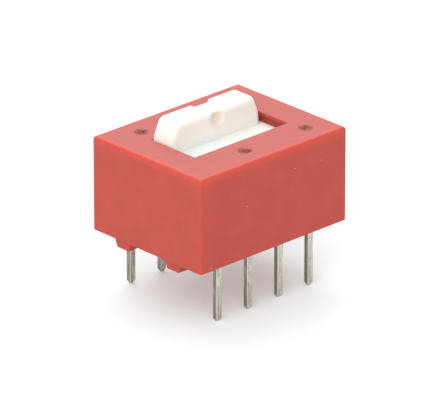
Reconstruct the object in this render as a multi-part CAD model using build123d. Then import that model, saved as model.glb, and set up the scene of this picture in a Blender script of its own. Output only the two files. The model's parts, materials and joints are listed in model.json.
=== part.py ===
from build123d import *
import math
import os

# A four-pole slide switch in a dual in-line package, in millimetres.
# The origin is level with the pin tips, in the middle of the pin pattern.
# X runs along the rows of pins, Y from the front row to the rear row, Z up.

# Pin pattern
poles = 4
pitch = 2.54
row_spacing = 7.62

# Pins and the contact pads that they bend into
pin_length = 3.4
pin_width = 0.46
pin_thickness = 0.36
pin_edge_radius = 0.07
pin_tip_length = 0.2
pin_tip_width = 0.24
pin_tip_thickness = 0.17
pad_width = 1.0
bend_radius = 0.2
shoulder_depth = 0.9
contact_inset = 0.47
rear_pad_overlap = 0.225
front_pad_overlap = 0.5

# Housing
body_height = 6.1
roof_thickness = 0.6
side_wall = 0.4
end_wall = 1.1
body_corner_radius = 0.15
roof_edge_radius = 0.2
window_shelf = 1.08
foot_height = 0.55
foot_depth = 0.8
foot_inset = 0.1
foot_spread = 2.2
foot_top_width = 1.4
foot_bottom_width = 1.0
mark_radius = 0.45
mark_depth = 0.08
mark_shift = 0.3
mark_setback = 0.63

# Base that closes the housing
base_recess = 0.3
base_thickness = 1.9
base_side_wall = 0.33
base_gap = 0.03
rail_thickness = 0.32
snap_radius = 0.18
snap_length = 3.0
snap_height = 0.9

# Slider
plate_thickness = 0.7
ridge_thickness = 1.55
ridge_height = 1.3
ridge_end_gap = 0.12
ridge_end_run = 0.55
ridge_corner_radius = 0.5
ridge_kink_radius = 2.0
ridge_edge_radius = 0.38
carrier_end_wall = 0.24
carrier_side_wall = 0.4
notch_centre = 0.1
notch_width = 1.35
notch_depth = 0.19
notch_round_share = 0.49
groove_width = 1.15
groove_depth = 0.2
groove_length = 1.15
groove_rim_radius = 0.2
peg_radius = 0.22
peg_drop = 0.25

# Contact bridges
bridge_width = 0.9
bridge_thickness = 0.15
bridge_flat = 1.1
bridge_bend_radius = 0.25
bridge_tip = 0.35
pocket_depth = 1.1

# Clearances
slide_gap = 0.03
side_gap = 0.05
stop_gap = 0.04
cover_overlap = 0.23
carrier_gap = 0.08
contact_gap = 0.03
pocket_gap = 0.05
pocket_end_gap = 0.1
peg_gap = 0.04

# Places along X
last_pin_x = (poles - 1) * pitch / 2
pocket_width = bridge_width + 2 * pocket_gap
carrier_half_length = last_pin_x + pocket_width / 2 + carrier_end_wall
base_half_length = carrier_half_length + side_gap + rail_thickness
cavity_half_length = base_half_length + base_gap
body_half_length = cavity_half_length + end_wall
plate_half_length = cavity_half_length - side_gap
window_half_length = cavity_half_length - window_shelf
ridge_half_length = window_half_length - ridge_end_gap

# Places along Y: the window is as wide as the plate can cover at both ends of the travel
row_y = row_spacing / 2
base_half_width = row_y + pin_thickness / 2 + base_side_wall
cavity_half_width = base_half_width + base_gap
body_half_width = cavity_half_width + side_wall
window_width = (cavity_half_width - side_gap - cover_overlap + ridge_thickness + 2 * stop_gap) / 1.5
travel = window_width - ridge_thickness - 2 * stop_gap
rest_y = travel / 2
plate_half_width = window_width / 2 + travel / 2 + cover_overlap
contact_half_spacing = row_y - pin_thickness / 2 - bend_radius - contact_inset - travel / 2
pocket_half_length = contact_half_spacing + bridge_tip + pocket_end_gap
carrier_half_width = pocket_half_length + carrier_side_wall

# Levels along Z
rim_z = pin_length + foot_height
roof_z = rim_z + body_height
base_top_z = rim_z + base_recess + base_thickness
pad_top_z = base_top_z + pin_thickness
plate_top_z = roof_z - roof_thickness - slide_gap
plate_bottom_z = plate_top_z - plate_thickness
carrier_bottom_z = pad_top_z + carrier_gap
pocket_top_z = carrier_bottom_z + pocket_depth
ridge_top_z = roof_z + ridge_height


def pin_positions():
    """X of each pin of a row, from left to right."""
    return [-last_pin_x + index * pitch for index in range(poles)]


def block(half_length, half_width, bottom, top, y=0.0):
    """A box centred on X = 0 and on the given Y."""
    height = top - bottom
    return Pos(0, y, bottom + height / 2) * Box(2 * half_length, 2 * half_width, height)


def rounded_block(half_length, half_width, bottom, top, radius):
    """A box with rounded vertical corners."""
    outline = RectangleRounded(2 * half_length, 2 * half_width, radius)
    return Pos(0, 0, bottom) * extrude(outline, top - bottom)


def bent_strip(points, radius, thickness, width, x):
    """A strip of sheet metal that follows (y, z) points, centred on the given X."""
    path = FilletPolyline(*points, radius=radius)
    profile = Plane.YZ * trace(path, thickness)
    return Pos(x, 0, 0) * extrude(profile, width / 2, both=True)


def snap_ribs(radius):
    """Half-round ribs on both ends of the base, and the grooves that take them."""
    ribs = []
    for x in (-base_half_length, base_half_length):
        place = Pos(x, 0, rim_z + snap_height) * Rot(90, 0, 0)
        ribs.append(place * Cylinder(radius, snap_length + 2 * (radius - snap_radius)))
    return ribs


def feet():
    """Four tapered standoffs under the end walls."""
    outline = Polyline(
        (-foot_top_width / 2, 0),
        (foot_top_width / 2, 0),
        (foot_bottom_width / 2, -foot_height),
        (-foot_bottom_width / 2, -foot_height),
        close=True,
    )
    foot = extrude(Plane.YZ * make_face(outline), foot_depth / 2, both=True)
    centre_x = body_half_length - foot_inset - foot_depth / 2
    places = [(x, y) for x in (-centre_x, centre_x) for y in (-foot_spread, foot_spread)]
    return [Pos(x, y, rim_z) * foot for x, y in places]


def roof_marks():
    """Shallow round marks beside the pins, in the rear and the front row by turns."""
    marks = []
    for index, x in enumerate(pin_positions()):
        side = 1 if index % 2 == 0 else -1
        y = side * (row_y - mark_setback)
        marks.append(Pos(x + mark_shift, y, roof_z) * Cylinder(mark_radius, 2 * mark_depth))
    return marks


def make_housing():
    """The shell: four walls, a roof with a window, and feet."""
    shell = rounded_block(body_half_length, body_half_width, rim_z, roof_z, body_corner_radius)
    roof_edges = shell.faces().sort_by(Axis.Z)[-1].edges()
    shell = fillet(roof_edges, roof_edge_radius)
    shell -= block(cavity_half_length, cavity_half_width, rim_z, roof_z - roof_thickness)
    shell -= block(window_half_length, window_width / 2, plate_top_z, roof_z)
    for groove in snap_ribs(snap_radius + base_gap):
        shell -= groove
    for mark in roof_marks():
        shell -= mark
    for foot in feet():
        shell += foot
    return shell


def make_terminal(x, side, pad_end_y):
    """One stamped terminal: contact pad, bend, wide shoulder and round-edged pin."""
    shoulder_z = base_top_z - shoulder_depth
    pad_z = base_top_z + pin_thickness / 2
    points = [(side * row_y, shoulder_z), (side * row_y, pad_z), (pad_end_y, pad_z)]
    terminal = bent_strip(points, bend_radius + pin_thickness / 2, pin_thickness, pad_width, x)
    section = RectangleRounded(pin_width, pin_thickness, pin_edge_radius)
    tip = RectangleRounded(pin_tip_width, pin_tip_thickness, pin_edge_radius)
    shank = Pos(0, 0, pin_tip_length) * extrude(section, shoulder_z - pin_tip_length)
    point = loft([tip.face(), (Pos(0, 0, pin_tip_length) * section).face()])
    return terminal + Pos(x, side * row_y, 0) * (shank + point)


def make_terminals():
    """The rear and the front terminals by name."""
    rear_end = contact_half_spacing - travel / 2 - rear_pad_overlap
    front_end = front_pad_overlap - contact_half_spacing - travel / 2
    terminals = {}
    for index, x in enumerate(pin_positions()):
        terminals[f"terminal_rear_{index + 1}"] = make_terminal(x, 1, rear_end)
        terminals[f"terminal_front_{index + 1}"] = make_terminal(x, -1, front_end)
    return terminals


def make_base(terminals):
    """The insulating base: a floor moulded round the terminals, and a rail under each plate end."""
    floor_z = rim_z + base_recess
    base = block(base_half_length, base_half_width, floor_z, plate_bottom_z - slide_gap)
    base -= block(carrier_half_length + side_gap, base_half_width, base_top_z, plate_bottom_z)
    for rib in snap_ribs(snap_radius):
        base += rib
    for terminal in terminals.values():
        base -= terminal
    return base


def make_ridge():
    """The ridge that is pushed: sloped ends, round edges, a notch on top and a groove in front."""
    outline = Polyline(
        (-ridge_half_length, plate_bottom_z),
        (-ridge_half_length, roof_z),
        (-ridge_half_length + ridge_end_run, ridge_top_z),
        (ridge_half_length - ridge_end_run, ridge_top_z),
        (ridge_half_length, roof_z),
        (ridge_half_length, plate_bottom_z),
        close=True,
    )
    face = make_face(outline)
    kinks = [corner for corner in face.vertices() if math.isclose(corner.Y, roof_z)]
    face = fillet(kinks, ridge_kink_radius)
    face = fillet(face.vertices().group_by(Axis.Y)[-1], ridge_corner_radius)
    ridge = extrude(Plane.XZ * face, ridge_thickness / 2, both=True)
    front = ridge.faces().sort_by(Axis.Y)[0]
    edges = [edge for edge in front.edges() if edge.center().Z > plate_bottom_z + ridge_edge_radius]
    ridge = fillet(edges, ridge_edge_radius)
    ridge = ridge - top_notch() - front_groove()
    rims = [edge for edge in ridge.edges() if is_groove_rim(edge)]
    return fillet(rims, groove_rim_radius)


def is_groove_rim(edge):
    """Whether an edge lies on the front face of the ridge, round the groove."""
    centre = edge.center()
    on_front = math.isclose(centre.Y, -ridge_thickness / 2, abs_tol=1e-3)
    return on_front and abs(centre.X - notch_centre) < groove_width and edge.length < 2 * groove_width


def top_notch():
    """A shallow channel across the top of the ridge, with its rims rounded over."""
    left = notch_centre - notch_width / 2
    right = notch_centre + notch_width / 2
    bottom = ridge_top_z - notch_depth
    above = ridge_top_z + notch_depth
    outline = Polyline(
        (left - notch_width, ridge_top_z),
        (left, ridge_top_z),
        (left, bottom),
        (right, bottom),
        (right, ridge_top_z),
        (right + notch_width, ridge_top_z),
        (right + notch_width, above),
        (left - notch_width, above),
        close=True,
    )
    face = make_face(outline)
    middle = [corner for corner in face.vertices() if abs(corner.X - notch_centre) < notch_width]
    face = fillet(middle, notch_depth * notch_round_share)
    return extrude(Plane.XZ * face, ridge_thickness, both=True)


def front_groove():
    """An upright round-bottomed groove in the front face, below the notch."""
    half = groove_width / 2
    radius = (half ** 2 + groove_depth ** 2) / (2 * groove_depth)
    centre_y = -ridge_thickness / 2 + groove_depth - radius
    centre_z = ridge_top_z - groove_length + half
    shaft = Pos(0, 0, ridge_height / 2) * Cylinder(radius, ridge_height)
    return Pos(notch_centre, centre_y, centre_z) * (Sphere(radius) + shaft)


def pockets():
    """Pockets in the underside of the carrier, one over each pair of terminals."""
    height = pocket_top_z - carrier_bottom_z
    box = Box(pocket_width, 2 * pocket_half_length, height)
    return [Pos(x, 0, carrier_bottom_z + height / 2) * box for x in pin_positions()]


def pegs(radius):
    """Locating pegs that stand down from the pocket ceilings."""
    height = bridge_thickness + peg_drop
    return [Pos(x, 0, pocket_top_z - height / 2) * Cylinder(radius, height) for x in pin_positions()]


def make_slider():
    """The slider: a plate that covers the window, the ridge above it and the carrier below it."""
    slider = block(plate_half_length, plate_half_width, plate_bottom_z, plate_top_z)
    slider += make_ridge()
    slider += block(carrier_half_length, carrier_half_width, carrier_bottom_z, plate_bottom_z)
    for pocket in pockets():
        slider -= pocket
    for peg in pegs(peg_radius):
        slider += peg
    return Pos(0, rest_y, 0) * slider


def make_bridge(x):
    """One contact bridge: a leaf spring with a flat middle, two contact bends and turned-up tips."""
    top = pocket_top_z - slide_gap - bridge_thickness / 2
    contact = pad_top_z + contact_gap + bridge_thickness / 2
    slope = math.atan2(top - contact, contact_half_spacing - bridge_flat / 2)
    bend_z = contact - bridge_bend_radius * (1 / math.cos(slope) - 1)
    tip_z = bend_z + bridge_tip * math.tan(slope)
    right = [
        (bridge_flat / 2, top),
        (contact_half_spacing, bend_z),
        (contact_half_spacing + bridge_tip, tip_z),
    ]
    left = [(-y, z) for y, z in reversed(right)]
    strip = bent_strip(left + right, bridge_bend_radius, bridge_thickness, bridge_width, x)
    hole = Pos(x, 0, top) * Cylinder(peg_radius + peg_gap, 2 * bridge_thickness)
    return Pos(0, rest_y, 0) * (strip - hole)


def main():
    """Build every piece and write each to its own file."""
    terminals = make_terminals()
    pieces = {"housing": make_housing(), "base": make_base(terminals), "slider": make_slider()}
    pieces.update(terminals)
    for index, x in enumerate(pin_positions()):
        pieces[f"contact_bridge_{index + 1}"] = make_bridge(x)
    os.makedirs("parts", exist_ok=True)
    for name, piece in pieces.items():
        export_step(piece, f"parts/{name}.step")
    print("body", 2 * body_half_length, 2 * body_half_width, "window", 2 * window_half_length, window_width)
    print("travel", travel, "rest", rest_y, "ridge top", ridge_top_z)


main()
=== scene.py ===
import json
import math

import bpy
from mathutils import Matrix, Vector

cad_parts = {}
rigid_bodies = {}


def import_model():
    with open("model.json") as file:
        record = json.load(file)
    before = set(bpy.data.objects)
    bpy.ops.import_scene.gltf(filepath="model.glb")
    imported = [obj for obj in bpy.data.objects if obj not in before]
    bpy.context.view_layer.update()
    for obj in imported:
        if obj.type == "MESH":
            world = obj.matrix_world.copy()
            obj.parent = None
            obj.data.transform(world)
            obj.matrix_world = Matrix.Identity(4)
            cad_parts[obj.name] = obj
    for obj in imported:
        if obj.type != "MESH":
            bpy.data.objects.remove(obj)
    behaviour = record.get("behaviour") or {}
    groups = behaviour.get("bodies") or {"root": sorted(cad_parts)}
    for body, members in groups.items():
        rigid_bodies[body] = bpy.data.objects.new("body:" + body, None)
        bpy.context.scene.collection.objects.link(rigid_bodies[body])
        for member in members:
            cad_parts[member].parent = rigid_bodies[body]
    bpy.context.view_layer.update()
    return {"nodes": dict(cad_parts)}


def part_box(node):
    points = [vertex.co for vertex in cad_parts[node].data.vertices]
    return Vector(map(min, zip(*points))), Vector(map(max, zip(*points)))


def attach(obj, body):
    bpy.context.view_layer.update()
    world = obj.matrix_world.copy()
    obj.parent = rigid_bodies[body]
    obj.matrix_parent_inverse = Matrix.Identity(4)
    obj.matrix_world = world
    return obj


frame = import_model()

bl_info = {
    "name": "Dual in-line slide switch",
    "version": (1, 0, 0),
    "blender": (4, 5, 0),
    "location": "View3D > Sidebar > Slide switch",
    "description": "Finishes a four-pole slide switch: plastics, tinned pins, springs and roof marks",
    "category": "Object",
}

MILLIMETRE = 0.001
CASE_BODY = "case"
POLES = 4

# Sockets of a Mix node that share their names with those of its other data types
MIX_FACTOR, MIX_FIRST, MIX_SECOND, MIX_RESULT = 0, 6, 7, 2
NOISE_ROUGHNESS = 0.55

# Places that come from the frame
HOUSING_LOW, HOUSING_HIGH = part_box("housing")
HALF_LENGTH = (HOUSING_HIGH[0] - HOUSING_LOW[0]) / 2
HALF_WIDTH = (HOUSING_HIGH[1] - HOUSING_LOW[1]) / 2
ROOF_Z = HOUSING_HIGH[2]
SLIDER_LOW, SLIDER_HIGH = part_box("slider")
RIDGE_TOP_Z = SLIDER_HIGH[2]
PIN_LOW, PIN_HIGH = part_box("terminal_front_1")
LAST_PIN_X = -(PIN_LOW[0] + PIN_HIGH[0]) / 2
PITCH = 2 * LAST_PIN_X / (POLES - 1)

# The slider's ridge and the groove in its front face
RIDGE_HALF_THICKNESS = 0.775 * MILLIMETRE
RIDGE_FRONT_Y = (SLIDER_LOW[1] + SLIDER_HIGH[1]) / 2 - RIDGE_HALF_THICKNESS
GROOVE_X = 0.1 * MILLIMETRE
GROOVE_DROP = 0.55 * MILLIMETRE

# A roof mark's plug: its share of the dimple's depth, the rings of its top and its rough skin
MARK_SIDES = 40
MARK_FILL = 0.95
MARK_TOP_SHARE = 0.9
MARK_RINGS = (0.12, 0.2, 0.2, 0.2)
MARK_EVENNESS = 0.2
MARK_FIRST_SEED = 3
MARK_SMOOTH_ANGLE = math.radians(50)

# The tint round a roof mark ends and is full at these shares of the mark's radius
HALO_END = 1.45
HALO_FULL = 0.95

# A speck is full within this share of its radius, and its cell's draw within this share of the limit
SPECK_CORE = 0.4
SPECK_DRAW = 0.95

# The stage
KEY_PLACE = (0.09, 0.14, 0.25)
FILL_PLACE = (-0.19, -0.13, 0.19)
AIM_X = 0.06 * MILLIMETRE
SENSOR_WIDTH = 36
CLIP_START = 0.01
BLACK = (0, 0, 0)
WHITE = (1, 1, 1)
FLOOR_TINT = (0.93, 1, 1)


class Value:
    """A socket that takes part in plain arithmetic. Each step adds one Math node."""

    def __init__(self, nodes, socket):
        self.nodes = nodes
        self.socket = socket

    def step(self, operation, *operands, clamp=False):
        """A Math node over this value and the operands."""
        inputs = dict(enumerate((self, *operands)))
        return self.nodes.value("ShaderNodeMath", {"operation": operation, "use_clamp": clamp}, inputs)

    def reflected(self, operation, other):
        """The same with this value as the second operand."""
        return self.nodes.value("ShaderNodeMath", {"operation": operation}, {0: other, 1: self})

    def __add__(self, other):
        return self.step("ADD", other)

    __radd__ = __add__

    def __sub__(self, other):
        return self.step("SUBTRACT", other)

    def __rsub__(self, other):
        return self.reflected("SUBTRACT", other)

    def __mul__(self, other):
        return self.step("MULTIPLY", other)

    __rmul__ = __mul__

    def __abs__(self):
        return self.step("ABSOLUTE")

    def clamped(self):
        """This value held between 0 and 1."""
        return self.step("ADD", 0.0, clamp=True)

    def least(self, other):
        """The smaller of two values."""
        return self.step("MINIMUM", other)

    def most(self, other):
        """The larger of two values."""
        return self.step("MAXIMUM", other)

    def root(self):
        """The square root of this value."""
        return self.step("SQRT")

    def fade(self, start, end):
        """A soft step: 0 at start, 1 at end. Start may be the larger."""
        inputs = {"Value": self, "From Min": start, "From Max": end, "To Min": 0.0, "To Max": 1.0}
        settings = {"interpolation_type": "SMOOTHSTEP", "clamp": True}
        return self.nodes.value("ShaderNodeMapRange", settings, inputs)

    def fade_mm(self, start, end):
        """The same for a length, with both ends in millimetres."""
        return self.fade(start * MILLIMETRE, end * MILLIMETRE)


class Nodes:
    """A node tree to which every node is added by one method."""

    def __init__(self, tree):
        self.tree = tree

    def node(self, kind, settings=None, inputs=None):
        """Add a node: its settings first, then the values or links of its sockets."""
        node = self.tree.nodes.new(kind)
        for name, setting in (settings or {}).items():
            setattr(node, name, setting)
        for name, source in (inputs or {}).items():
            self.feed(node.inputs[name], source)
        return node

    def value(self, kind, settings=None, inputs=None, output=0):
        """The same, returning one of its outputs for arithmetic."""
        return Value(self, self.node(kind, settings, inputs).outputs[output])

    def feed(self, socket, source):
        """Link or set one socket."""
        if isinstance(source, Value):
            self.tree.links.new(source.socket, socket)
        else:
            socket.default_value = source


class Recipe(Nodes):
    """The node tree of one procedural material on a Principled shader."""

    def __init__(self, name, **constants):
        self.material = bpy.data.materials.new(name)
        self.material.use_nodes = True
        super().__init__(self.material.node_tree)
        self.shader = self.tree.nodes["Principled BSDF"]
        for socket, constant in constants.items():
            title = socket.replace("_", " ").title().replace("Ior", "IOR")
            self.shader.inputs[title].default_value = constant

    def place(self):
        """Object coordinates, in metres."""
        return self.value("ShaderNodeTexCoord", output="Object")

    def axes(self, vector):
        """The three parts of a vector."""
        node = self.node("ShaderNodeSeparateXYZ", None, {"Vector": vector})
        return [Value(self, socket) for socket in node.outputs]

    def facing(self):
        """How squarely the surface faces along X, Y and Z, each from 0 to 1."""
        normal = self.value("ShaderNodeNewGeometry", output="True Normal")
        return [abs(part) for part in self.axes(normal)]

    def stretched(self, vector, scale):
        """A vector scaled along each axis."""
        return self.value("ShaderNodeVectorMath", {"operation": "MULTIPLY"}, {0: vector, 1: scale})

    def noise(self, vector, grain_mm, detail=3.0, distortion=0.0):
        """Soft noise from 0 to 1 whose blotches are about the given size."""
        inputs = {
            "Vector": vector,
            "Scale": 1 / (grain_mm * MILLIMETRE),
            "Detail": detail,
            "Roughness": NOISE_ROUGHNESS,
            "Distortion": distortion,
        }
        return self.value("ShaderNodeTexNoise", {"noise_dimensions": "3D"}, inputs)

    def specks(self, vector, spacing_mm, radius, share):
        """Round specks, 1 in their middle, in a share of the cells.

        The radius is a share of the spacing.
        """
        inputs = {"Vector": vector, "Scale": 1 / (spacing_mm * MILLIMETRE)}
        cells = self.node("ShaderNodeTexVoronoi", {"feature": "F1"}, inputs)
        chance = self.axes(Value(self, cells.outputs["Color"]))[0]
        distance = Value(self, cells.outputs["Distance"])
        return distance.fade(radius, radius * SPECK_CORE) * chance.fade(share, share * SPECK_DRAW)

    def blend(self, factor, first, second):
        """Mix two colours, each a property or a Value."""
        inputs = {MIX_FACTOR: factor, MIX_FIRST: colour(first), MIX_SECOND: colour(second)}
        return self.value("ShaderNodeMix", {"data_type": "RGBA"}, inputs, output=MIX_RESULT)

    def finish(self, tone, roughness, height, depth_mm, strength):
        """Feed the shader its colour, its roughness and a bump of 0 to 1 that stands this deep."""
        inputs = {"Height": height, "Distance": depth_mm * MILLIMETRE, "Strength": strength}
        self.set("Base Color", tone)
        self.set("Roughness", roughness)
        self.set("Normal", self.value("ShaderNodeBump", None, inputs))
        return self.material

    def set(self, socket, source):
        """Set or link one of the shader's own sockets."""
        self.feed(self.shader.inputs[socket], source)


def colour(source):
    """A colour property as a socket's four numbers. A Value stays as it is."""
    return source if isinstance(source, Value) else (*source[:3], 1.0)


def paint(material, *node_names):
    """Give CAD nodes a material."""
    for name in node_names:
        mesh = frame["nodes"][name].data
        mesh.materials.clear()
        mesh.materials.append(material)


def terminal_names():
    """The terminals' nodes."""
    return [f"terminal_{row}_{index + 1}" for row in ("front", "rear") for index in range(POLES)]


def bridge_names():
    """The contact bridges' nodes."""
    return [f"contact_bridge_{index + 1}" for index in range(POLES)]


def mark_places(shape):
    """X and Y of each roof mark: beside its pin, in the rear and the front row by turns."""
    sides = [1 if index % 2 == 0 else -1 for index in range(POLES)]
    first_x = -LAST_PIN_X + shape.shift
    return [(first_x + index * PITCH, side * shape.row) for index, side in enumerate(sides)]


def scorch_halo(x, y, shape):
    """Where the roof is tinted round its marks, from 0 to 1."""
    halo = 0.0
    for mark_x, mark_y in mark_places(shape):
        across, along = x - mark_x, y - mark_y
        distance = (across * across + along * along).root()
        halo = distance.fade(shape.radius * HALO_END, shape.radius * HALO_FULL).most(halo)
    return halo


def moulded_red(look, marks):
    """Satin red plastic: soft mottling, a fine moulded grain and specks, with a painted sheen on the
    roof, painted highlights along the edges and painted shade on the walls of the window.
    """
    recipe = Recipe("moulded_red", roughness=0.42)
    place = recipe.place()
    x, y, z = recipe.axes(place)
    depth = ROOF_Z - z
    side_gap = (HALF_LENGTH - abs(x)).least(HALF_WIDTH - abs(y))
    corner_gap = HALF_LENGTH + HALF_WIDTH - abs(x) - abs(y)
    mottle = recipe.noise(place, 1.6, detail=4.0)
    drag = recipe.noise(recipe.stretched(place, (1.0, 1.0, 0.12)), 0.22, detail=2.0)
    grain = recipe.noise(place, 0.09, detail=2.0)
    # Painted sheen: the upward faces of the roof get a pinker, paler red, as light from above would
    # give them.
    roof = recipe.facing()[2].fade(0.8, 0.98) * depth.fade_mm(0.05, 0.01)
    # Painted highlight: an orange-red band runs along the top edges of the side faces.
    roof_edge_highlight = (depth + side_gap).fade_mm(0.6, 0.12)
    # Painted highlight: the upright corners get the same orange-red band.
    corner_highlight = corner_gap.fade_mm(0.4, 0.12)
    # Painted shade: the walls of the window below the roof are darkened.
    window = side_gap.fade_mm(0.8, 1.6) * depth.fade_mm(0.03, 0.3)
    dark_specks = recipe.specks(place, 0.6, 0.1, 0.35)
    light_specks = recipe.specks(recipe.stretched(place, (1.3, 1.3, 1.1)), 0.75, 0.1, 0.35)
    dust = recipe.specks(recipe.stretched(place, (1.0, 1.2, 0.9)), 0.75, 0.065, 0.35)
    tone = recipe.blend(mottle.fade(0.2, 0.8), look.red, look.deep_red)
    layers = (
        (drag.fade(0.5, 0.8) * 0.15, look.deep_red),
        (roof * (0.7 + 0.3 * mottle), look.roof_sheen_red),
        (roof_edge_highlight * (0.4 + 0.5 * mottle), look.edge_highlight_and_speck_red),
        (corner_highlight * (0.45 * mottle), look.edge_highlight_and_speck_red),
        (dark_specks * 0.55, look.speck),
        (light_specks * 0.6, look.edge_highlight_and_speck_red),
        (window * 0.9, look.window_shade_red),
        (dust * 0.75, look.dust),
        (scorch_halo(x, y, marks) * (0.25 + 0.6 * drag), look.mark_red),
    )
    for mask, layer in layers:
        tone = recipe.blend(mask, tone, layer)
    roughness = 0.36 + 0.16 * grain + 0.06 * mottle
    height = 0.6 * grain + 0.4 * drag + 0.5 * (1.0 - dark_specks) + 0.5 * dust
    return recipe.finish(tone, roughness, height, 0.012, 0.8)


def base_red(look):
    """The base's darker red, with a flow pattern and a slightly glossier skin."""
    recipe = Recipe("base_red", roughness=0.4)
    place = recipe.place()
    flow = recipe.noise(recipe.stretched(place, (0.5, 1.4, 1.0)), 1.1, detail=4.0, distortion=0.8)
    grain = recipe.noise(place, 0.08, detail=2.0)
    tone = recipe.blend(flow.fade(0.3, 0.7), look.base_red, look.deep_red)
    return recipe.finish(tone, 0.34 + 0.18 * grain, 0.6 * grain + 0.4 * flow, 0.008, 0.6)


def slider_white(look):
    """Warm white plastic, a little translucent, with flow lines, and painted shade on the plate in the
    window and round the groove.
    """
    recipe = Recipe(
        "slider_white", roughness=0.4, subsurface_weight=0.25, subsurface_scale=0.0006,
        subsurface_radius=(1.0, 0.85, 0.7))
    place = recipe.place()
    x, y, z = recipe.axes(place)
    flow = recipe.noise(recipe.stretched(place, (0.4, 1.0, 1.0)), 1.0, detail=3.0, distortion=0.5)
    grain = recipe.noise(place, 0.06, detail=2.0)
    # Painted shade: the slider's plate, down in the window, turns greyer and cooler.
    foot_shade = (ROOF_Z - z).fade_mm(0.0, 0.7)
    # Painted shade: the front face darkens to tan round the groove.
    across = abs(x - GROOVE_X)
    down = abs(z - (RIDGE_TOP_Z - GROOVE_DROP))
    reach = (across * across + down * down * 0.6).root()
    front = (y - RIDGE_FRONT_Y).fade_mm(0.5, 0.3)
    groove_shade = reach.fade_mm(0.7, 0.25) * front
    tone = recipe.blend(flow.fade(0.3, 0.75), look.white, look.warm_white)
    tone = recipe.blend(foot_shade * (0.5 + 0.3 * flow), tone, look.foot_shade_grey)
    tone = recipe.blend(groove_shade * (0.3 + 0.5 * flow), tone, look.groove_shade_and_speck_tan)
    tone = recipe.blend(recipe.specks(place, 0.9, 0.05, 0.2) * 0.35, tone, look.groove_shade_and_speck_tan)
    roughness = 0.34 + 0.14 * grain - 0.06 * groove_shade
    return recipe.finish(tone, roughness, 0.5 * grain + 0.5 * flow, 0.008, 0.6)


def tinned(look):
    """Dull tin: olive-grey rolled faces and long streaks, with painted shade on the sides that face
    along X and painted highlights on the rounded edges.
    """
    recipe = Recipe("tinned_metal", metallic=1.0, roughness=0.4)
    place = recipe.place()
    along_x, along_y, along_z = recipe.facing()
    rolled = along_y.fade(0.75, 0.98)
    # Painted shade: the faces that look along X are darkened.
    shaded_sides = along_x.fade(0.75, 0.98)
    # Painted highlight: the rounded edges between the faces are brightened.
    edge_highlight = (1.0 - rolled - shaded_sides).clamped() * (1.0 - along_z.fade(0.3, 0.7))
    streaks = recipe.noise(recipe.stretched(place, (1.0, 1.0, 0.08)), 0.09, detail=3.0)
    blotch = recipe.noise(place, 0.35, detail=4.0, distortion=0.6)
    pits = recipe.noise(place, 0.05, detail=2.0)
    tone = recipe.blend(blotch.fade(0.35, 0.7), look.tin, look.olive_tin)
    tone = recipe.blend(shaded_sides * (0.7 + 0.3 * streaks), tone, look.side_shade_and_streak_tin)
    tone = recipe.blend(streaks.fade(0.48, 0.3) * 0.6, tone, look.side_shade_and_streak_tin)
    tone = recipe.blend(streaks.fade(0.52, 0.7) * 0.55, tone, look.edge_highlight_and_streak_tin)
    tone = recipe.blend(edge_highlight * (0.6 + 0.4 * blotch), tone, look.edge_highlight_and_streak_tin)
    roughness = (0.28 + 0.3 * blotch + 0.14 * shaded_sides - 0.1 * edge_highlight).clamped()
    return recipe.finish(tone, roughness, 0.5 * streaks + 0.3 * blotch + 0.2 * pits, 0.012, 0.8)


def spring_bronze(look):
    """Bright phosphor bronze with rolling lines along the strip and a little tarnish."""
    recipe = Recipe("spring_bronze", metallic=1.0, roughness=0.3)
    place = recipe.place()
    lines = recipe.noise(recipe.stretched(place, (1.0, 0.06, 0.3)), 0.05, detail=2.0)
    tarnish = recipe.noise(place, 0.6, detail=4.0)
    tone = recipe.blend(tarnish.fade(0.4, 0.75) * 0.7, look.bronze, look.tarnish)
    return recipe.finish(tone, 0.2 + 0.15 * lines + 0.15 * tarnish, lines, 0.004, 0.6)


def scorched_mark(look):
    """The rough brown-red skin of a roof mark."""
    recipe = Recipe("scorched_mark", roughness=0.75)
    place = recipe.place()
    blotch = recipe.noise(place, 0.22, detail=4.0, distortion=1.2)
    grit = recipe.noise(place, 0.06, detail=3.0)
    tone = recipe.blend(blotch.fade(0.44, 0.56), look.mark_dark, look.mark_red)
    tone = recipe.blend(grit.fade(0.55, 0.75) * 0.5, tone, look.deep_red)
    return recipe.finish(tone, 0.6 + 0.3 * grit, 0.5 * blotch + 0.5 * grit, 0.03, 1.0)


def tint(name, description, default):
    """A colour property."""
    return bpy.props.FloatVectorProperty(
        name=name, description=description, subtype="COLOR", default=default, min=0, max=1)


def length(name, description, default):
    """A length property, shown to the thousandth of a millimetre."""
    return amount(name, description, default, unit="LENGTH", precision=6)


def amount(name, description, default, **kind):
    """A number property, with a unit or subtype where one is given."""
    return bpy.props.FloatProperty(name=name, description=description, default=default, **kind)


class HousingLook(bpy.types.PropertyGroup):
    """Colours of the red mouldings."""

    red: tint("Red", "Main red of the housing", (0.52, 0.057, 0.036))
    deep_red: tint("Deep red", "Darker patches of the red", (0.47, 0.048, 0.03))
    # The roof red is a painted sheen on the roof.
    roof_sheen_red: tint("Roof red", "Pinker red of the roof, a painted sheen", (0.47, 0.08, 0.068))
    # The edge red is a painted highlight on the edges, and also the colour of the light specks.
    edge_highlight_and_speck_red: tint("Edge red", "Orange-red painted highlight of the edges, and light specks", (0.66, 0.058, 0.028))
    dust: tint("Dust", "Sparse pale specks of dust", (0.85, 0.6, 0.52))
    # The window red is painted shade on the walls of the window.
    window_shade_red: tint("Window red", "Darker red painted as shade on the walls of the window", (0.3, 0.02, 0.008))
    speck: tint("Speck", "Dark specks in the plastic", (0.2, 0.03, 0.02))
    base_red: tint("Base red", "Red of the base under the housing", (0.3, 0.034, 0.025))
    mark_dark: tint("Mark brown", "Dark brown of the roof marks", (0.17, 0.058, 0.042))
    mark_red: tint("Mark red", "Redder patches of the roof marks", (0.4, 0.1, 0.075))


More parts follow.
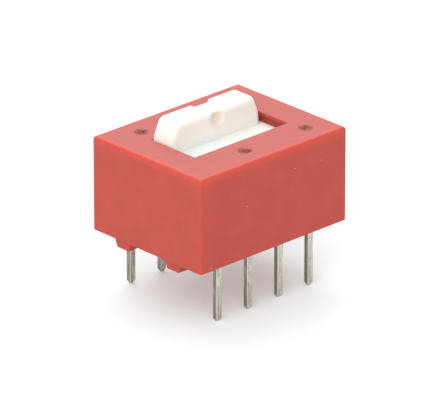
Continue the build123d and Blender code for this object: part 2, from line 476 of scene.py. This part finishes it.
class SliderLook(bpy.types.PropertyGroup):
    """Colours of the slider."""

    white: tint("White", "Main white of the slider", (0.91, 0.9, 0.855))
    warm_white: tint("Warm white", "Warmer flow patches", (0.9, 0.875, 0.8))
    # The groove tan is painted shade in the groove, and also the colour of small specks.
    groove_shade_and_speck_tan: tint("Groove tan", "Painted shade of the groove, and specks", (0.74, 0.66, 0.47))
    # This grey is painted shade on the plate down in the window.
    foot_shade_grey: tint("Foot grey", "Cooler painted shade of the plate in the window", (0.79, 0.83, 0.81))


class MetalLook(bpy.types.PropertyGroup):
    """Colours of the terminals and the springs."""

    tin: tint("Tin", "Tin on the rolled faces", (0.7, 0.68, 0.6))
    olive_tin: tint("Olive tin", "Duller patches of the tin", (0.56, 0.53, 0.43))
    # The dark tin is painted shade on the sides, and also the colour of dark streaks.
    side_shade_and_streak_tin: tint("Dark tin", "Painted shade on the sides, and dark streaks", (0.25, 0.24, 0.21))
    # The bright tin is a painted highlight on the edges, and also the colour of bright streaks.
    edge_highlight_and_streak_tin: tint("Bright tin", "Painted highlight on the edges, and bright streaks", (0.9, 0.88, 0.8))
    bronze: tint("Bronze", "Contact bridges", (0.78, 0.5, 0.26))
    tarnish: tint("Tarnish", "Tarnish on the bronze", (0.42, 0.24, 0.12))


class MarkShape(bpy.types.PropertyGroup):
    """Sizes and places of the roof marks."""

    radius: length("Radius", "Radius of a mark", 0.000447)
    depth: length("Depth", "Depth of the dimple that a mark lies in", 0.00008)
    shift: length("Shift", "How far right of its pin a mark stands", 0.0003)
    row: length("Row", "Distance of the marks from the middle of the roof", 0.00318)
    rough: length("Roughness", "How far the rough skin strays", 0.000035)


class StageLook(bpy.types.PropertyGroup):
    """Floor, light and camera."""

    floor_size: length("Floor size", "Side of the square floor", 3.0)
    floor_colour: tint("Floor colour", "Colour of the floor", (0.75, 0.775, 0.775))
    floor_lift: amount("Floor lift", "How much lighter the floor is to the eye", 0.2)
    sky: amount("Sky", "Strength of the even light", 0.74)
    key_watts: amount("Key light", "Power of the large soft lamp", 0.42, unit="POWER")
    fill_watts: amount("Fill light", "Power of the lamp on the other side", 0.52, unit="POWER")
    lamp_size: length("Lamp size", "Side of each soft lamp", 0.28)
    view_azimuth: amount("Azimuth", "Camera's turn", math.radians(-43.5), subtype="ANGLE")
    view_elevation: amount("Elevation", "Camera's height angle", math.radians(23.49), subtype="ANGLE")
    view_distance: length("Distance", "Camera's distance", 0.4)
    view_lens: amount("Lens", "Focal length in millimetres", 540.2)
    view_height: length("Aim height", "Height that the camera looks at", 0.00552)


def deselect():
    """Clear the selection, because every operator acts on all that is selected."""
    bpy.ops.object.select_all(action="DESELECT")


def select_top(obj, height):
    """In edit mode, select the faces whose middle is above a height."""
    bpy.ops.mesh.select_all(action="DESELECT")
    bpy.ops.object.mode_set(mode="OBJECT")
    for face in obj.data.polygons:
        face.select = face.center.z + obj.location.z > height
    bpy.ops.object.mode_set(mode="EDIT")


def settle(obj, name, material):
    """Put the object's place into its mesh, and name and paint it."""
    bpy.ops.object.transform_apply(location=True, rotation=True, scale=True)
    obj.name = name
    obj.data.name = name
    obj.data.materials.clear()
    obj.data.materials.append(material)


def add_mark(index, shape, material):
    """One roof mark: a thin rough plug that fills its dimple."""
    x, y = mark_places(shape)[index]
    bottom = ROOF_Z - shape.depth
    thickness = shape.depth * MARK_FILL
    deselect()
    middle = (x, y, bottom + thickness / 2)
    bpy.ops.mesh.primitive_cylinder_add(
        vertices=MARK_SIDES, radius=shape.radius, depth=thickness, location=middle)
    mark = bpy.context.object
    bpy.ops.object.mode_set(mode="EDIT")
    bpy.ops.mesh.select_mode(type="FACE")
    select_top(mark, bottom + thickness * MARK_TOP_SHARE)
    for share in MARK_RINGS:
        bpy.ops.mesh.inset(thickness=share * shape.radius)
    bpy.ops.mesh.poke()
    bpy.ops.mesh.select_more()
    bpy.ops.mesh.subdivide(number_cuts=1)
    select_top(mark, bottom + thickness * MARK_TOP_SHARE)
    bpy.ops.mesh.select_less()
    bpy.ops.transform.vertex_random(
        offset=shape.rough, uniform=MARK_EVENNESS, normal=0.0, seed=index + MARK_FIRST_SEED)
    bpy.ops.mesh.select_all(action="SELECT")
    bpy.ops.mesh.normals_make_consistent(inside=False)
    bpy.ops.object.mode_set(mode="OBJECT")
    settle(mark, f"roof_mark_{index + 1}", material)
    bpy.ops.object.shade_smooth_by_angle(angle=MARK_SMOOTH_ANGLE)
    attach(mark, CASE_BODY)


class FinishHousing(bpy.types.Operator):
    """Give the housing and the base their red plastics"""

    bl_idname = "slide_switch.finish_housing"
    bl_label = "Finish housing and base"

    def execute(self, context):
        look = context.scene.housing_look
        paint(moulded_red(look, context.scene.mark_shape), "housing")
        paint(base_red(look), "base")
        return {"FINISHED"}


class FinishSlider(bpy.types.Operator):
    """Give the slider its warm white plastic"""

    bl_idname = "slide_switch.finish_slider"
    bl_label = "Finish slider"

    def execute(self, context):
        paint(slider_white(context.scene.slider_look), "slider")
        return {"FINISHED"}


class FinishTerminals(bpy.types.Operator):
    """Give the terminals their dull tin"""

    bl_idname = "slide_switch.finish_terminals"
    bl_label = "Finish terminals"

    def execute(self, context):
        paint(tinned(context.scene.metal_look), *terminal_names())
        return {"FINISHED"}


class FinishBridges(bpy.types.Operator):
    """Give the contact bridges their bronze"""

    bl_idname = "slide_switch.finish_bridges"
    bl_label = "Finish contact bridges"

    def execute(self, context):
        paint(spring_bronze(context.scene.metal_look), *bridge_names())
        return {"FINISHED"}


class AddRoofMarks(bpy.types.Operator):
    """Fill the dimples of the roof with their rough marks"""

    bl_idname = "slide_switch.add_roof_marks"
    bl_label = "Add roof marks"

    def execute(self, context):
        material = scorched_mark(context.scene.housing_look)
        for index in range(POLES):
            add_mark(index, context.scene.mark_shape, material)
        return {"FINISHED"}


def floor_material(look):
    """A pale floor that is a little lighter to the eye than to the lamps, and keeps its shadow."""
    recipe = Recipe("pale_floor", roughness=0.9, specular_ior_level=0.2)
    seen = recipe.value("ShaderNodeLightPath", output="Is Camera Ray")
    recipe.set("Base Color", colour(look.floor_colour))
    recipe.set("Emission Color", recipe.blend(seen, BLACK, FLOOR_TINT))
    recipe.set("Emission Strength", look.floor_lift)
    return recipe.material


def light_world(look):
    """Even pale light from all round, and pure white to the eye, to metal and to glass."""
    world = bpy.data.worlds.new("pale_room")
    world.use_nodes = True
    nodes = Nodes(world.node_tree)
    background = world.node_tree.nodes["Background"]
    path = nodes.node("ShaderNodeLightPath")
    camera, glossy = [Value(nodes, path.outputs[ray]) for ray in ("Is Camera Ray", "Is Glossy Ray")]
    inputs = {"Value": camera.most(glossy), "To Min": look.sky, "To Max": 1.0}
    nodes.feed(background.inputs["Color"], colour(WHITE))
    nodes.feed(background.inputs["Strength"], nodes.value("ShaderNodeMapRange", None, inputs))
    bpy.context.scene.world = world


def add_lamp(name, place, size, watts):
    """A square soft lamp aimed at the switch."""
    deselect()
    bpy.ops.object.light_add(type="AREA", location=place)
    lamp = bpy.context.object
    lamp.name = name
    lamp.data.size = size
    lamp.data.energy = watts
    aim = Vector(place) - Vector((0, 0, ROOF_Z / 2))
    lamp.rotation_euler = aim.to_track_quat("Z", "Y").to_euler()


def add_camera(look):
    """The camera, at its distance along the line of sight."""
    azimuth, elevation = look.view_azimuth, look.view_elevation
    level = math.cos(elevation)
    back = Vector((math.sin(azimuth) * level, -math.cos(azimuth) * level, math.sin(elevation)))
    aim = Vector((AIM_X, 0, look.view_height))
    deselect()
    bpy.ops.object.camera_add(location=aim + back * look.view_distance)
    camera = bpy.context.object
    camera.rotation_euler = back.to_track_quat("Z", "Y").to_euler()
    camera.data.sensor_width = SENSOR_WIDTH
    camera.data.lens = look.view_lens
    camera.data.clip_start = CLIP_START
    bpy.context.scene.camera = camera


class SetStage(bpy.types.Operator):
    """Lay the floor and set the lamps, the room and the camera"""

    bl_idname = "slide_switch.set_stage"
    bl_label = "Set stage"

    def execute(self, context):
        look = context.scene.stage_look
        deselect()
        bpy.ops.mesh.primitive_plane_add(size=look.floor_size, location=(0, 0, 0))
        floor = context.object
        floor.name = "floor"
        floor.data.materials.append(floor_material(look))
        light_world(look)
        add_lamp("key_lamp", KEY_PLACE, look.lamp_size, look.key_watts)
        add_lamp("fill_lamp", FILL_PLACE, look.lamp_size, look.fill_watts)
        add_camera(look)
        context.scene.view_settings.view_transform = "Standard"
        return {"FINISHED"}


class SwitchPanel(bpy.types.Panel):
    """Steps that finish the switch"""

    bl_idname = "VIEW3D_PT_slide_switch"
    bl_label = "Slide switch"
    bl_space_type = "VIEW_3D"
    bl_region_type = "UI"
    bl_category = "Slide switch"

    def draw(self, context):
        for operator in OPERATORS:
            self.layout.operator(operator.bl_idname)
        for group in LOOKS:
            box = self.layout.box()
            look = getattr(context.scene, group)
            for name in look.bl_rna.properties.keys():
                if name not in ("rna_type", "name"):
                    box.prop(look, name)


OPERATORS = (FinishHousing, FinishSlider, FinishTerminals, FinishBridges, AddRoofMarks, SetStage)
LOOKS = {
    "housing_look": HousingLook,
    "slider_look": SliderLook,
    "metal_look": MetalLook,
    "mark_shape": MarkShape,
    "stage_look": StageLook,
}


def register():
    for group, kind in LOOKS.items():
        bpy.utils.register_class(kind)
        setattr(bpy.types.Scene, group, bpy.props.PointerProperty(type=kind))
    for operator in OPERATORS:
        bpy.utils.register_class(operator)
    bpy.utils.register_class(SwitchPanel)


def unregister():
    bpy.utils.unregister_class(SwitchPanel)
    for operator in reversed(OPERATORS):
        bpy.utils.unregister_class(operator)
    for group, kind in LOOKS.items():
        delattr(bpy.types.Scene, group)
        bpy.utils.unregister_class(kind)


def main():
    """Run every step in order."""
    register()
    bpy.ops.slide_switch.finish_housing()
    bpy.ops.slide_switch.finish_slider()
    bpy.ops.slide_switch.finish_terminals()
    bpy.ops.slide_switch.finish_bridges()
    bpy.ops.slide_switch.add_roof_marks()
    bpy.ops.slide_switch.set_stage()


if __name__ == "__main__":
    main()
